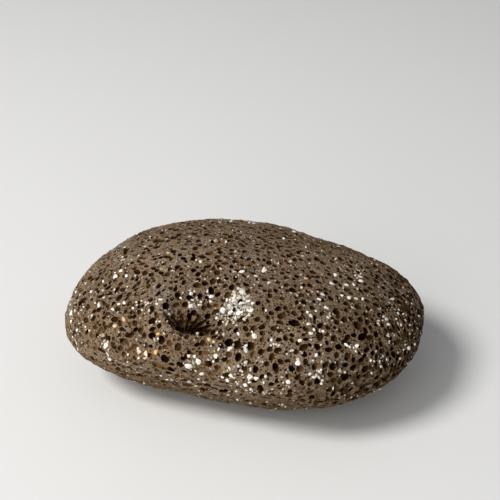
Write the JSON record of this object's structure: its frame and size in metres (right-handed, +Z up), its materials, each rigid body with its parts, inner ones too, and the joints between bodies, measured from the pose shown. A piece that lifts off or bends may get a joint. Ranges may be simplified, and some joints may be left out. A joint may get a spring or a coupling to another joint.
{
  "type": "lava rock",
  "caption": "Hand-sized worn cobble of bubbly basalt, pitted all over, with a funnel-shaped hollow in one shoulder and a flat underside to rest on.",
  "frame": {"origin": "middle of the bounding box in plan, on the surface that the stone rests on", "axes": "+X along the stone, -Y towards the side with the hollow, +Z up as it rests"},
  "size_m": [0.1194, 0.0819, 0.047],
  "materials": {
    "basalt": "matt, worn smooth between open bubbles",
    "pale_crystal": "small glassy white grains set in the stone",
    "amber_crystal": "small glassy cream and amber grains set in the stone"
  },
  "bodies": {
    "root": {"lava_rock": "basalt"}
  },
  "joints": []
}
